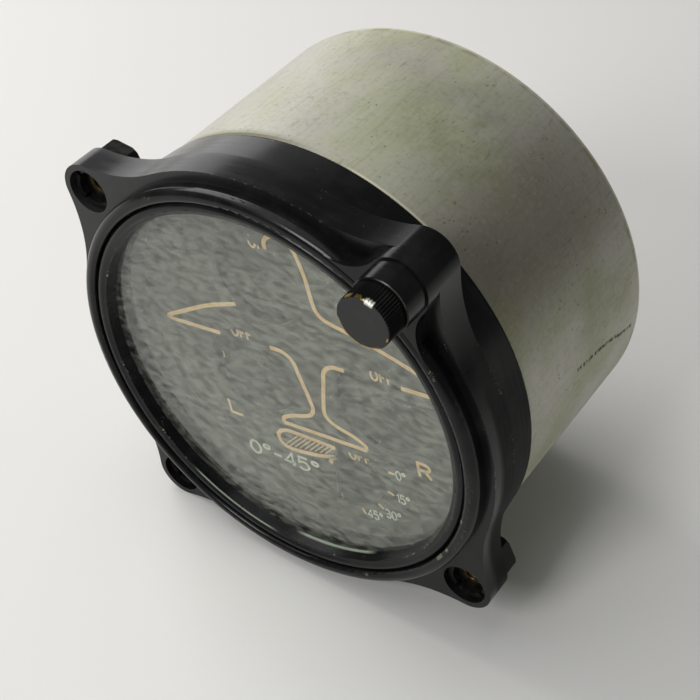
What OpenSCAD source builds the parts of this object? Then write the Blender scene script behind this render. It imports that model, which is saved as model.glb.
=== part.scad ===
// Wheel and flap position indicator, a round panel instrument with a square four-lug front.
// Millimetres. X is right and Z is up as seen from the front, and the face looks along -Y.
// The origin is on the axis of the dial, in the plane of the lug fronts.

/* [Front casting] */
// Width of the round flange outside the raised ring
flange_step = 1.75; // [1.3:0.05:2.6]
// Thickness of the corner lugs
lug_t = 5.5; // [4:0.1:7]
// Reach of the lug holes beyond the round flange
lug_reach = 3.3; // [2.4:0.1:6]
// Radius of the lug corners about their holes
lug_tip_r = 5.05; // [4.9:0.05:6]
// Radius of the concave lug flanks
lug_flank_r = 28; // [14:1:40]
// Radius of the lug holes
lug_hole_r = 3.95; // [3.5:0.05:4.2]
// Taper of the skirt from the lugs to the can gasket
skirt_taper = 0.5; // [0.1:0.05:0.8]
// Depth of the skirt behind the lug fronts
skirt_d = 11.7; // [10:0.1:14]
// Length of the spigot that enters the can
spigot_len = 3.8; // [2.5:0.1:6]

/* [Raised ring] */
// Radius of the raised ring, which enters the panel hole
ring_r = 39.4; // [39:0.1:40]
// Height of the raised ring above the lug fronts
ring_h = 2.95; // [2.5:0.05:4]
// Width of the raised ring
ring_w = 2.3; // [2.25:0.05:2.6]
// Rounding of the outer edge of the ring
ring_round_out = 1.4; // [0.5:0.1:1.4]
// Rounding of the inner edge of the ring
ring_round_in = 0.8; // [0.3:0.1:0.8]

/* [Glass] */
// Height of the glass front above the lug fronts
glass_lift = 0.2; // [0:0.1:0.6]
// Thickness of the cover glass
glass_t = 3; // [1.5:0.1:4]
// Thickness of the glass gasket
gasket_t = 0.6; // [0.3:0.1:1]
// Width of the ledge that carries the glass gasket
ledge_w = 2.5; // [1.8:0.1:3]
// Thickness of that ledge
ledge_t = 1.8; // [1:0.1:3]
// Height of the retaining ring bead above the glass
bead_h = 2.3; // [1.6:0.1:2.7]
// Height of the sharp rim above the glass
rim_h = 1.9; // [1:0.1:2.2]
// Width of the retaining ring from its thread to its rim
retainer_w = 2.1; // [1.9:0.05:2.3]
// Widening of the retaining ring wall from its foot to its rim
wall_slope = 0.55; // [0.1:0.05:0.6]

/* [Dial] */
// Distance from the back of the ledge to the dial
dial_depth = 4.5; // [3:0.1:6]
// Thickness of the dial plate
dial_t = 0.8; // [0.5:0.1:1.2]
// Sideways distance of the main wheel windows from the axis
wheel_x = 13.4; // [12.8:0.1:15]
// Height of the main wheel windows above the flap pivot
wheel_rise = 13.7; // [13.2:0.1:15]
// Sideways place of the nose wheel window
nose_x = -7.6; // [-9:0.1:-5]
// Height of the nose wheel window above the flap pivot
nose_rise = 34.5; // [34:0.1:36]
// Radius of the main wheel windows
window_r = 9; // [6:0.1:9.4]
// Radius of the nose wheel window
nose_window_r = 8.7; // [6:0.1:9.4]
// Radius of the fan window about the flap pivot
fan_r = 12.4; // [9:0.1:13]
// Height of the fan window's top edge above the flap pivot
fan_top = 1.5; // [0.5:0.1:2]

/* [Flags and pointer] */
// Radius of the wheel flags
flag_r = 9.8; // [9.5:0.1:10.2]
// Thickness of the wheel flags and of the pointer
flag_t = 0.4; // [0.3:0.05:0.6]
// Gap from the back of the dial to the flap pointer
pointer_gap = 0.6; // [0.4:0.1:0.8]
// Gap from the back of the dial to the wheel flags
flag_gap = 1.6; // [1.5:0.1:2]
// Length of the flap pointer from its pivot
pointer_len = 13.4; // [10:0.1:13.5]
// Gap between the pointer's tip and the ring behind the dial
pointer_tip_gap = 0.7; // [0.4:0.1:1.5]
// Resting angle of the flap pointer
pointer_rest = -97; // [-100:1:-90]

/* [Movement] */
// Thickness of the movement plate
plate_t = 2; // [1.5:0.1:3]
// Radius of the indicator motors
motor_r = 9.1; // [8.4:0.1:9.3]
// Length of the indicator motors
motor_len = 24; // [16:0.5:28]
// Wall of the motor housings
motor_wall = 0.7; // [0.5:0.1:1]
// Thickness of the motor end walls
motor_end_t = 1.5; // [1:0.1:2]
// Radius of the motor shafts
shaft_r = 0.8; // [0.5:0.05:1]
// Running clearance of the shafts in their bearings
shaft_clear = 0.05; // [0.02:0.01:0.09]
// Radius of the rotor magnets
magnet_r = 4.4; // [3:0.1:4.8]
// Radius of the case pillars
pillar_r = 2.6; // [2.2:0.1:3.2]
// Gap between the case pillars and the can
pillar_gap = 4.8; // [3:0.1:6]

/* [Can] */
// Step from the end of the skirt in to the can
can_step = 0.25; // [0.05:0.05:0.5]
// Wall of the can
can_wall = 1; // [0.8:0.05:1.2]
// Thickness of the can's rear wall
can_rear_t = 1.2; // [0.8:0.1:2]
// Space between the motors and the can's rear wall
rear_space = 6.6; // [6.4:0.1:14]
// Rounding of the can's rear edge
can_round = 0.5; // [0.2:0.1:0.7]
// Thickness of the can gasket
can_gasket_t = 0.5; // [0.3:0.1:1]

/* [Connector] */
// Half width of the square connector flange
conn_half = 12.7; // [12.3:0.1:14]
// Thickness of the connector flange
conn_flange_t = 1.6; // [1:0.1:2.5]
// Outer radius of the connector barrel
conn_r = 9.6; // [9.3:0.1:10]
// Wall of the connector barrel
conn_wall = 1.2; // [0.8:0.1:1.6]
// Length of the connector barrel behind its flange
conn_len = 10.4; // [8:0.1:13]
// Distance of the connector screws from the axis along X and along Z
conn_screw_at = 9.6; // [9.4:0.1:10]
// Radius of the connector pins
pin_r = 0.8; // [0.5:0.05:0.9]

/* [Mounting nuts] */
// Width of the six-sided nut head across its flats
nut_flats = 7.94; // [7.92:0.02:8.6]
// Length of the nut head behind the lug
nut_head_len = 3.9; // [2.5:0.1:5]
// Depth of the nut front below the lug front
nut_recess = 1.2; // [0.5:0.1:2]
// Radius of the brass insert
insert_r = 2.2; // [1.8:0.1:2.6]
// Bore of the brass insert
insert_bore_r = 1.4; // [1.2:0.05:1.6]

/* [Corner light] */
// Height of the corner pad above the lug fronts
pad_h = 2.76; // [2:0.05:2.9]
// Radius of the concave flanks of the pad
pad_flank_r = 8; // [4:0.5:12]
// Bore of the lug for the corner light
light_bore_r = 4.2; // [4:0.05:4.4]
// Wall of the lug behind that bore
light_floor_t = 1; // [0.6:0.1:1.5]
// Radius of the lamp collar
collar_r = 4.7; // [4.5:0.05:5]
// Height of the lamp collar above the pad
collar_h = 4.54; // [3:0.1:6]
// Outer radius of the dimmer sleeve
sleeve_r = 3.35; // [3.1:0.05:3.5]
// Wall of the dimmer sleeve
sleeve_wall = 0.5; // [0.3:0.05:0.6]
// Running clearance of the sleeve in the collar
sleeve_clear = 0.05; // [0.02:0.01:0.09]
// Radius of the dimmer knob over its knurl
knob_r = 4.4; // [4.1:0.05:4.7]
// Height of the dimmer knob
knob_h = 3.9; // [3:0.1:5]
// Number of knurl ridges
knurl_count = 56; // [40:1:70]
// Depth of the knurl
knurl_d = 0.22; // [0.1:0.02:0.3]
// Radius of the light port between the lamp and the glass edge
port_r = 1; // [0.6:0.1:1.2]

/* [Hidden] */
$fn = 96;

// Running and fitting gaps
fit_gap = 0.05;
loose_gap = 0.15;
spigot_gap = 0.1;
knob_gap = 0.1;

// Depth by which the lug flanks run into the circles that they touch
flank_run_in = 0.004;

// Radii that follow from the ring
flange_r = ring_r + flange_step;
skirt_end_r = flange_r - skirt_taper;
ring_bore_r = ring_r - ring_w;
ring_crest_in = ring_bore_r + ring_round_in;
ring_crest_out = ring_r - ring_round_out / 2;
retainer_r = ring_bore_r - spigot_gap;
glass_r = ring_bore_r - 2 * spigot_gap;
ledge_r = ring_bore_r - ledge_w;
cavity_step = 1.1;
cavity_r = ring_bore_r - cavity_step;
dial_r = cavity_r - loose_gap;
rim_r = retainer_r - retainer_w;
wall_foot_r = rim_r - wall_slope;
spacer_wall = 0.9;
support_wall = 1.55;
support_r = cavity_r - fit_gap;

// Places along the axis
glass_y = -glass_lift;
glass_back = glass_y + glass_t;
ledge_y = glass_back + gasket_t;
cavity_y = ledge_y + ledge_t;
dial_y = cavity_y + dial_depth;
dial_back = dial_y + dial_t;
pointer_y = dial_back + pointer_gap;
flag_y = dial_back + flag_gap;
spigot_end = skirt_d + spigot_len;
plate_back = spigot_end + plate_t;
motor_back = plate_back + motor_len;
can_front = skirt_d + can_gasket_t;
can_floor = motor_back + rear_space;
can_back = can_floor + can_rear_t;

// Can and spigot
can_r = skirt_end_r - can_step;
can_bore_r = can_r - can_wall;
spigot_r = can_bore_r - spigot_gap;
plate_r = spigot_r - 2 * loose_gap;

// Lug circle, with the holes on the diagonals
bolt_r = flange_r + lug_reach;
light_angle = 45;
nut_angles = [135, 225, 315];

// Shaft places, each as X and Z
flap_z = -(support_r - support_wall - pointer_tip_gap - pointer_len);
wheel_z = flap_z + wheel_rise;
nose_z = flap_z + nose_rise;
left_at = [-wheel_x, wheel_z];
right_at = [wheel_x, wheel_z];
nose_at = [nose_x, nose_z];
flap_at = [0, flap_z];
motor_places = [left_at, right_at, nose_at, flap_at];

// Fan window corners, sideways from the flap pivot
fan_left_top = 1.9;
fan_left_bottom = -1;

// Flags and pointer
flag_hub_r = 1.8;
flag_hub_len = 1.2;
shaft_nose = 0.3;
arm_root_half = 0.9;
arm_tip_half = 0.45;
tab_angle = -8.4;
tab_len = 7.8;
tab_half = 1.4;

// Motors
pilot_r = 2.4;
pilot_gap = 0.05;
winding_gap = 0.05;
winding_wall = 3;
winding_end_gap = 1.4;
magnet_len_gap = 3;
motor_screw_at = 6;
motor_screw_r = 0.7;
motor_screw_head_r = 1.3;
motor_screw_head_h = 0.8;

// Screws of the movement plate and of the case
plate_screw_r = 0.9;
plate_screw_head_r = 1.5;
plate_screw_head_h = 1.1;
plate_screw_len = 5;
plate_screw_at = spigot_r - plate_screw_head_r - loose_gap;
plate_screw_angles = [30, 150, 270];
pillar_angles = [90, 210, 330];
pillar_at = can_bore_r - pillar_gap - pillar_r;
pillar_stud_r = 1.4;
case_screw_r = 1.4;
case_screw_len = 7;
case_screw_head_r = 2.7;
case_screw_head_h = 1.5;
slot_share = 0.45;
slot_w = 0.6;

// Connector
conn_corner_r = 2.5;
conn_neck_gap = 0.1;
conn_neck_len = 2.8;
conn_screw_r = 1.1;
conn_screw_head_r = 2.1;
conn_screw_head_h = 1.3;
conn_screw_grip = 1.2;
conn_thread_groove = 0.5;
conn_groove_w = 1.4;
insert_face = 6;
insert_tail = 3.8;
pin_front = 4.2;
pin_tail = 2.2;
pin_gap = 0.03;
pin_ring_outer = 5.7;
pin_ring_inner = 2.3;
pin_count_outer = 9;
pin_count_inner = 4;
conn_bore_r = conn_r - conn_wall;

// Mounting nuts
nut_slot_w = 0.8;
nut_slot_d = 1.3;
nut_mouth_r = 2.9;
nut_mouth_d = 1.6;
nut_rear_lip = 0.4;
nut_chamfer = 0.3;
nut_corner_r = nut_flats / sqrt(3);
nut_seat_half = nut_flats / 2 + spigot_gap;
nut_seat_width = 2 * nut_corner_r + 4 * spigot_gap;
nut_r = lug_hole_r - fit_gap;
nut_front = nut_recess;
nut_back = lug_t + nut_head_len;

// Corner light, from the lamp socket forwards
light_floor_y = lug_t - light_floor_t;
socket_base_t = 1;
socket_y = light_floor_y - socket_base_t;
socket_cup_h = 1;
socket_cup_wall = 0.8;
contact_r = 1.2;
contact_t = 0.6;
lamp_base_r = 1.75;
lamp_base_h = 1.1;
lamp_glass_r = 1.6;
lamp_glass_h = 4.4;
lamp_glass_front = socket_y - lamp_base_h - lamp_glass_h;
collar_front = -pad_h - collar_h;
collar_chamfer = 0.15;
collar_spigot_r = light_bore_r - fit_gap;
port_y = glass_y + glass_t / 2;
collar_tail_gap = 0.2;
collar_tail = port_y - port_r - collar_tail_gap;
sleeve_end = socket_y - socket_cup_h - knob_gap;
sleeve_grip = 2.4;
knob_back = collar_front - knob_gap;
knob_front = knob_back - knob_h;
knob_chamfer = 0.2;
wire_hole_r = 0.6;
wire_slot_w = 2.4;
wire_out_y = dial_back + flag_gap;
wire_hole_reach = 3;

// Plate with an outline drawn as seen from the front, from depth y0 and t thick
module plate(y0, t) {
    translate([0, y0 + t, 0])
        rotate([90, 0, 0])
            linear_extrude(t)
                children();
}

// Turned piece about the line through (at.x, at.y), its profile drawn as radius and depth
module turned(at = [0, 0]) {
    translate([at.x, 0, at.y])
        rotate([-90, 0, 0])
            rotate_extrude()
                children();
}

// Straight round piece from depth y0 to y1
module rod(at, y0, y1, r) {
    plate(y0, y1 - y0)
        translate(at)
            circle(r);
}

// Flat ring section, from r0 to r1 and from y0 to y1
module section(r0, r1, y0, y1) {
    translate([r0, y0])
        square([r1 - r0, y1 - y0]);
}

// Rounded front edge of a turned piece, inwards or outwards from its centre at radius r
module quarter_round(r, y, round_r, side) {
    intersection() {
        translate([r, y])
            circle(round_r);
        section(r + min(side, 0) * round_r, r + max(side, 0) * round_r, y - round_r, y);
    }
}

// Place on a circle of radius r at an angle, as X and Z
function polar(r, a) = [r * cos(a), r * sin(a)];

// Lug reaching from a round body to the bolt circle along +X. Its flanks are arcs that
// touch both the body and the corner circle, so their centres come from the three sides
// of the triangle between the axis, the hole and the arc centre. Each arc is cut a hair
// deeper than that, so that it runs into both circles and leaves no seam between them.
module lug_outline(body_r, tip_r, flank_r) {
    centre_r = body_r + flank_r;
    side = tip_r + flank_r;
    a = acos((centre_r ^ 2 + bolt_r ^ 2 - side ^ 2) / (2 * centre_r * bolt_r));
    difference() {
        polygon([[0, 0], polar(centre_r, a), [bolt_r, 0], polar(centre_r, -a)]);
        for (s = [-1, 1])
            translate(polar(centre_r, s * a))
                circle(flank_r + flank_run_in);
    }
    translate([bolt_r, 0])
        circle(tip_r);
}

// Slotted screw with its head in front of depth 0 and its shank behind
module slotted_screw(r, len, head_r, head_h) {
    difference() {
        turned() {
            section(0, head_r, -head_h, 0);
            section(0, r, -head_h / 2, len);
        }
        translate([-head_r, -head_h - slot_w, -slot_w / 2])
            cube([2 * head_r, slot_w + head_h * slot_share, slot_w]);
    }
}

// Section of the casting: the raised ring with its rounded crest, the flange, the glass
// ledge, the tapering skirt and the spigot for the can
module casting_section() {
    section(ring_crest_in, ring_r - ring_round_out, -ring_h, ledge_y);
    section(ring_bore_r, ring_crest_in, -ring_h + ring_round_in, ledge_y);
    section(ring_r - ring_round_out, ring_r, -ring_h + ring_round_out, ledge_y);
    quarter_round(ring_crest_in, -ring_h + ring_round_in, ring_round_in, -1);
    quarter_round(ring_r - ring_round_out, -ring_h + ring_round_out, ring_round_out, 1);
    polygon([
        [ring_bore_r, 0], [flange_r, 0], [flange_r, lug_t], [skirt_end_r, skirt_d],
        [spigot_r, skirt_d], [spigot_r, spigot_end], [cavity_r, spigot_end],
        [cavity_r, cavity_y], [ledge_r, cavity_y], [ledge_r, ledge_y], [ring_bore_r, ledge_y]
    ]);
}

// Casting with four lugs and the raised pad of the corner light
module bezel_casting() {
    light_at = polar(bolt_r, light_angle);
    color("#2b2b2d")
        difference() {
            union() {
                turned()
                    casting_section();
                plate(0, lug_t)
                    difference() {
                        for (a = concat([light_angle], nut_angles))
                            rotate(a)
                                lug_outline(flange_r, lug_tip_r, lug_flank_r);
                        circle(ring_r);
                    }
                plate(-pad_h, pad_h + lug_t / 2)
                    difference() {
                        rotate(light_angle)
                            lug_outline(ring_crest_out, lug_tip_r, pad_flank_r);
                        circle(ring_crest_in);
                    }
            }
            for (a = nut_angles)
                rod(polar(bolt_r, a), -1, lug_t + 1, lug_hole_r);
            plate(lug_t, skirt_d - lug_t)
                for (a = nut_angles)
                    translate(polar(bolt_r, a))
                        rotate(a)
                            square([2 * nut_seat_half, nut_seat_width], center = true);
            for (a = plate_screw_angles)
                rod(polar(plate_screw_at, a), spigot_end - plate_screw_len, spigot_end + 1, plate_screw_r);
            rod(light_at, -pad_h - 1, light_floor_y, light_bore_r);
            light_port();
            wire_hole();
        }
}

// Passage for the light, along the radius from the lamp bore to the edge of the glass
module light_port() {
    rotate([0, -light_angle, 0])
        translate([glass_r - 1, port_y, 0])
            rotate([0, 90, 0])
                cylinder(h = bolt_r - glass_r + 1, r = port_r);
}

// Passage for the lamp wire, sloping from the lamp bore to the space behind the dial
module wire_hole() {
    near_r = bolt_r - light_bore_r;
    drop = near_r - cavity_r;
    rise = wire_out_y - light_floor_y;
    slope = atan2(rise, drop);
    rotate([0, -light_angle, 0])
        translate([near_r, light_floor_y, 0])
            rotate([0, 0, 180 - slope])
                rotate([0, 90, 0])
                    translate([0, 0, -1])
                        cylinder(h = norm([drop, rise]) + 1 + wire_hole_reach, r = wire_hole_r);
}

// Ring screwed in from the front, with a steep wall, a sharp rim and a rounded bead
module glass_retaining_ring() {
    bead_round = (retainer_r - rim_r) / 2 - fit_gap;
    bead_mid = retainer_r - bead_round;
    color("#333335")
        turned() {
            polygon([
                [wall_foot_r, glass_y], [rim_r, glass_y - rim_h],
                [bead_mid, glass_y - bead_h], [bead_mid, glass_y]
            ]);
            section(bead_mid, retainer_r, glass_y - bead_h + bead_round, glass_y);
            translate([bead_mid, glass_y - bead_h + bead_round])
                circle(bead_round);
        }
}

module cover_glass() {
    color("#9fb0a8", 0.5)
        rod([0, 0], glass_y, glass_back, glass_r);
}

module glass_gasket() {
    color("#1c1c1c")
        turned()
            section(ledge_r, glass_r, glass_back, ledge_y);
}

module dial_spacer_ring() {
    color("#3a3a3c")
        turned()
            section(support_r - spacer_wall, support_r, cavity_y, dial_y);
}

// Dial with three round windows and a fan window about the flap pivot
module dial_plate() {
    color("#4a4f4a")
        plate(dial_y, dial_t)
            difference() {
                circle(dial_r);
                for (at = [left_at, right_at])
                    translate(at)
                        circle(window_r);
                translate(nose_at)
                    circle(nose_window_r);
                translate(flap_at)
                    fan_window();
            }
}

module fan_window() {
    intersection() {
        circle(fan_r);
        polygon([
            [fan_left_top, fan_top], [fan_r + 1, fan_top],
            [fan_r + 1, -fan_r - 1], [fan_left_bottom, -fan_r - 1]
        ]);
    }
}

// Ring behind the dial, notched for the lamp wire
module dial_support_ring() {
    color("#5c5c5e")
        difference() {
            turned()
                section(support_r - support_wall, support_r, dial_back, spigot_end);
            rotate([0, -light_angle, 0])
                translate([support_r - 2 * support_wall, dial_back - 1, -wire_slot_w / 2])
                    cube([3 * support_wall, spigot_end - dial_back + 2, wire_slot_w]);
        }
}

// Drawn can with a closed rear end
module can() {
    color("#a9a794")
        difference() {
            turned() {
                section(can_bore_r, can_r, can_front, can_back - can_round);
                section(0, can_r - can_round, can_floor, can_back);
                translate([can_r - can_round, can_back - can_round])
                    circle(can_round);
            }
            rod([0, 0], can_floor - 1, can_back + 1, conn_bore_r + conn_wall / 2 + conn_neck_gap);
            for (a = pillar_angles)
                rod(polar(pillar_at, a), can_floor - 1, can_back + 1, case_screw_r + fit_gap);
            for (sx = [-1, 1], sz = [-1, 1])
                rod([sx * conn_screw_at, sz * conn_screw_at], can_floor - 1, can_back + 1, conn_screw_r);
        }
}

module can_gasket() {
    color("#101010")
        turned()
            section(spigot_r + fit_gap, can_r - loose_gap, skirt_d, can_front);
}

// Nut with a slotted front that fills the lug hole and a six-sided head behind the lug,
// one flat of which lies along a flat on the skirt and keeps the nut from turning
module mounting_nuts() {
    color("#181818")
        for (a = nut_angles) {
            at = polar(bolt_r, a);
            difference() {
                union() {
                    rod(at, nut_front, lug_t + nut_head_len / 2, nut_r);
                    intersection() {
                        plate(lug_t, nut_head_len)
                            translate(at)
                                rotate(a + 30)
                                    circle(nut_corner_r, $fn = 6);
                        turned(at)
                            polygon([
                                [0, lug_t], [nut_corner_r + nut_chamfer, lug_t],
                                [nut_corner_r + nut_chamfer, nut_back - 2 * nut_chamfer],
                                [nut_corner_r - nut_chamfer, nut_back], [0, nut_back]
                            ]);
                    }
                }
                rod(at, nut_front - 1, nut_front + nut_mouth_d, nut_mouth_r);
                rod(at, nut_front, nut_back + 1, insert_r);
                plate(nut_front - 1, nut_slot_d + 1)
                    translate(at)
                        for (turn = [0, 90])
                            rotate(a + turn)
                                square([3 * nut_r, nut_slot_w], center = true);
            }
        }
}

module nut_inserts() {
    color("#b08d3c")
        for (a = nut_angles)
            turned(polar(bolt_r, a))
                section(insert_bore_r, insert_r, nut_front + nut_mouth_d, nut_back - nut_rear_lip);
}

// Plate that carries the motors, clamped to the spigot end
module movement_plate() {
    color("#b9bab6")
        plate(spigot_end, plate_t)
            difference() {
                circle(plate_r);
                for (at = motor_places) {
                    translate(at)
                        circle(pilot_r + pilot_gap);
                    for (s = [-1, 1])
                        translate([at.x + s * motor_screw_at, at.y])
                            circle(motor_screw_r);
                }
                for (a = plate_screw_angles)
                    translate(polar(plate_screw_at, a))
                        circle(plate_screw_r);
                for (a = pillar_angles)
                    translate(polar(pillar_at, a))
                        circle(pillar_stud_r);
                translate(polar(plate_r, light_angle))
                    circle(wire_slot_w);
            }
}

module movement_plate_screws() {
    color("#8f8f8c")
        for (a = plate_screw_angles) {
            at = polar(plate_screw_at, a);
            translate([at.x, plate_back, at.y])
                rotate([0, 0, 180])
                    slotted_screw(plate_screw_r, plate_t + plate_screw_len - loose_gap,
                        plate_screw_head_r, plate_screw_head_h);
        }
}

// Pillars from the movement plate to the rear wall of the can
module case_pillars() {
    color("#c0c0bc")
        for (a = pillar_angles)
            turned(polar(pillar_at, a))
                difference() {
                    union() {
                        section(0, pillar_r, plate_back, can_floor);
                        section(0, pillar_stud_r, spigot_end, plate_back + 1);
                    }
                    section(0, case_screw_r, can_floor - case_screw_len, can_floor + 1);
                }
}

module case_screws() {
    color("#8f8f8c")
        for (a = pillar_angles) {
            at = polar(pillar_at, a);
            translate([at.x, can_back, at.y])
                rotate([0, 0, 180])
                    slotted_screw(case_screw_r, can_rear_t + case_screw_len - loose_gap,
                        case_screw_head_r, case_screw_head_h);
        }
}

module motor_screws() {
    color("#8f8f8c")
        for (at = motor_places, s = [-1, 1])
            translate([at.x + s * motor_screw_at, spigot_end, at.y])
                slotted_screw(motor_screw_r, plate_t + motor_end_t - loose_gap,
                    motor_screw_head_r, motor_screw_head_h);
}

// Motor housing: a round can with a bearing in each end and a pilot in the movement plate
module motor_housing(at) {
    bearing_r = shaft_r + shaft_clear;
    color("#7d8084")
        difference() {
            turned(at)
                difference() {
                    union() {
                        section(bearing_r, motor_r, plate_back, motor_back);
                        section(bearing_r, pilot_r, spigot_end, plate_back + motor_end_t);
                    }
                    section(0, motor_r - motor_wall, plate_back + motor_end_t, motor_back - motor_end_t);
                }
            for (s = [-1, 1])
                rod([at.x + s * motor_screw_at, at.y], plate_back - 1, plate_back + motor_end_t + 1,
                    motor_screw_r);
        }
}

module motor_winding(at) {
    outer_r = motor_r - motor_wall - winding_gap;
    color("#8a4b22")
        turned(at)
            section(outer_r - winding_wall, outer_r, plate_back + motor_end_t + winding_end_gap,
                motor_back - motor_end_t - winding_end_gap);
}

module motor_magnet(at) {
    color("#55575a")
        turned(at)
            section(shaft_r, magnet_r, plate_back + motor_end_t + magnet_len_gap,
                motor_back - motor_end_t - magnet_len_gap);
}

module motor_shaft(at, front_y) {
    color("#d0d0cc")
        rod(at, front_y - shaft_nose, motor_back, shaft_r);
}

// Round flag with a hub behind it, pressed on its motor shaft
module wheel_flag(at) {
    color("#26282a")
        turned(at) {
            section(shaft_r, flag_r, flag_y, flag_y + flag_t);
            section(shaft_r, flag_hub_r, flag_y, flag_y + flag_t + flag_hub_len);
        }
}

// Tapered pointer with a tab beside it that shows OFF while the pointer rests
module flap_pointer() {
    color("#26282a")
        difference() {
            union() {
                plate(pointer_y, flag_t)
                    translate(flap_at) {
                        rotate(pointer_rest)
                            polygon([
                                [0, -arm_root_half], [pointer_len, -arm_tip_half],
                                [pointer_len, arm_tip_half], [0, arm_root_half]
                            ]);
                        rotate(tab_angle) {
                            translate([0, -tab_half])
                                square([tab_len - tab_half, 2 * tab_half]);
                            translate([tab_len - tab_half, 0])
                                circle(tab_half);
                        }
                    }
                rod(flap_at, pointer_y, pointer_y + flag_t + flag_hub_len, flag_hub_r);
            }
            rod(flap_at, pointer_y - 1, pointer_y + flag_t + flag_hub_len + 1, shaft_r);
        }
}

// Connector shell: square flange with round corners, threaded barrel and neck in the can
module connector_shell() {
    corner = conn_half - conn_corner_r;
    barrel_end = can_back + conn_flange_t + conn_len;
    neck_r = conn_bore_r + conn_wall / 2;
    color("#8c8d85")
        difference() {
            union() {
                plate(can_back, conn_flange_t)
                    union() {
                        square([2 * conn_half, 2 * corner], center = true);
                        square([2 * corner, 2 * conn_half], center = true);
                        for (sx = [-1, 1], sz = [-1, 1])
                            translate([sx * corner, sz * corner])
                                circle(conn_corner_r);
                    }
                turned()
                    difference() {
                        union() {
                            section(0, conn_r, can_back, barrel_end);
                            section(0, neck_r, can_floor - conn_neck_len, can_back + 1);
                        }
                        section(conn_r - conn_thread_groove, conn_r + 1, can_back + conn_flange_t,
                            can_back + conn_flange_t + conn_groove_w);
                    }
            }
            rod([0, 0], can_floor - conn_neck_len - 1, barrel_end + 1, conn_bore_r);
            for (sx = [-1, 1], sz = [-1, 1])
                rod([sx * conn_screw_at, sz * conn_screw_at], can_back - 1, can_back + conn_flange_t + 1,
                    conn_screw_r);
        }
}

function pin_places() = concat(
    [for (i = [0:pin_count_outer - 1]) polar(pin_ring_outer, i * 360 / pin_count_outer)],
    [for (i = [0:pin_count_inner - 1]) polar(pin_ring_inner, i * 360 / pin_count_inner)]
);

module connector_insert() {
    color("#5a3a28")
        plate(can_floor - insert_tail, insert_tail + can_rear_t + insert_face)
            difference() {
                circle(conn_bore_r - fit_gap);
                for (at = pin_places())
                    translate(at)
                        circle(pin_r + pin_gap);
            }
}

module connector_pins() {
    color("#c9a64a")
        for (at = pin_places())
            rod(at, can_floor - insert_tail - pin_tail, can_back + insert_face + pin_front, pin_r);
}

module connector_screws() {
    color("#8f8f8c")
        for (sx = [-1, 1], sz = [-1, 1])
            translate([sx * conn_screw_at, can_back + conn_flange_t, sz * conn_screw_at])
                rotate([0, 0, 180])
                    slotted_screw(conn_screw_r, conn_flange_t + can_rear_t + conn_screw_grip,
                        conn_screw_head_r, conn_screw_head_h);
}

// Plain collar that stands on the pad, with a spigot in the lug and a bearing for the sleeve
module lamp_collar() {
    bearing_r = sleeve_r + sleeve_clear;
    color("#1d1d1f")
        turned(polar(bolt_r, light_angle))
            polygon([
                [bearing_r, collar_front], [collar_r - collar_chamfer, collar_front],
                [collar_r, collar_front + collar_chamfer], [collar_r, -pad_h],
                [collar_spigot_r, -pad_h], [collar_spigot_r, collar_tail], [bearing_r, collar_tail]
            ]);
}

// Knurled knob: one point on each ridge and one in each valley, cut to a cone at both ends
module dimmer_knob() {
    at = polar(bolt_r, light_angle);
    color("#26261f")
        difference() {
            intersection() {
                plate(knob_front, knob_h)
                    translate(at)
                        polygon([
                            for (i = [0:2 * knurl_count - 1])
                                polar(knob_r - (i % 2) * knurl_d, i * 180 / knurl_count)
                        ]);
                turned(at)
                    polygon([
                        [0, knob_front], [knob_r - knob_chamfer, knob_front],
                        [knob_r + knob_chamfer, knob_front + 2 * knob_chamfer],
                        [knob_r + knob_chamfer, knob_back - 2 * knob_chamfer],
                        [knob_r - knob_chamfer, knob_back], [0, knob_back]
                    ]);
            }
            rod(at, knob_back - sleeve_grip, knob_back + 1, sleeve_r);
        }
}

// Brass sleeve in the knob, with one port that faces the glass edge at rest
module dimmer_sleeve() {
    at = polar(bolt_r, light_angle);
    color("#b8923a")
        difference() {
            turned(at)
                section(sleeve_r - sleeve_wall, sleeve_r, knob_back - sleeve_grip, sleeve_end);
            rotate([0, -light_angle, 0])
                translate([bolt_r - 2 * sleeve_r, port_y, 0])
                    rotate([0, 90, 0])
                        cylinder(h = 2 * sleeve_r, r = port_r);
        }
}

module lamp_glass() {
    color("#dfe6df", 0.6)
        turned(polar(bolt_r, light_angle)) {
            section(0, lamp_glass_r, lamp_glass_front + lamp_glass_r, socket_y - lamp_base_h);
            intersection() {
                translate([0, lamp_glass_front + lamp_glass_r])
                    circle(lamp_glass_r);
                section(0, lamp_glass_r, lamp_glass_front, lamp_glass_front + lamp_glass_r + 0.1);
            }
        }
}

module lamp_base() {
    color("#c2a45a")
        rod(polar(bolt_r, light_angle), socket_y - lamp_base_h, socket_y, lamp_base_r);
}

module lamp_socket() {
    color("#3b2a20")
        turned(polar(bolt_r, light_angle))
            difference() {
                union() {
                    section(0, collar_spigot_r, socket_y, light_floor_y);
                    section(0, lamp_base_r + fit_gap + socket_cup_wall, socket_y - socket_cup_h, socket_y + 0.1);
                }
                section(0, lamp_base_r + fit_gap, socket_y - 2 * socket_cup_h, socket_y);
                section(0, contact_r, socket_y - 1, socket_y + contact_t);
            }
}

module lamp_contact() {
    color("#b8923a")
        rod(polar(bolt_r, light_angle), socket_y, socket_y + contact_t, contact_r);
}

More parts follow.
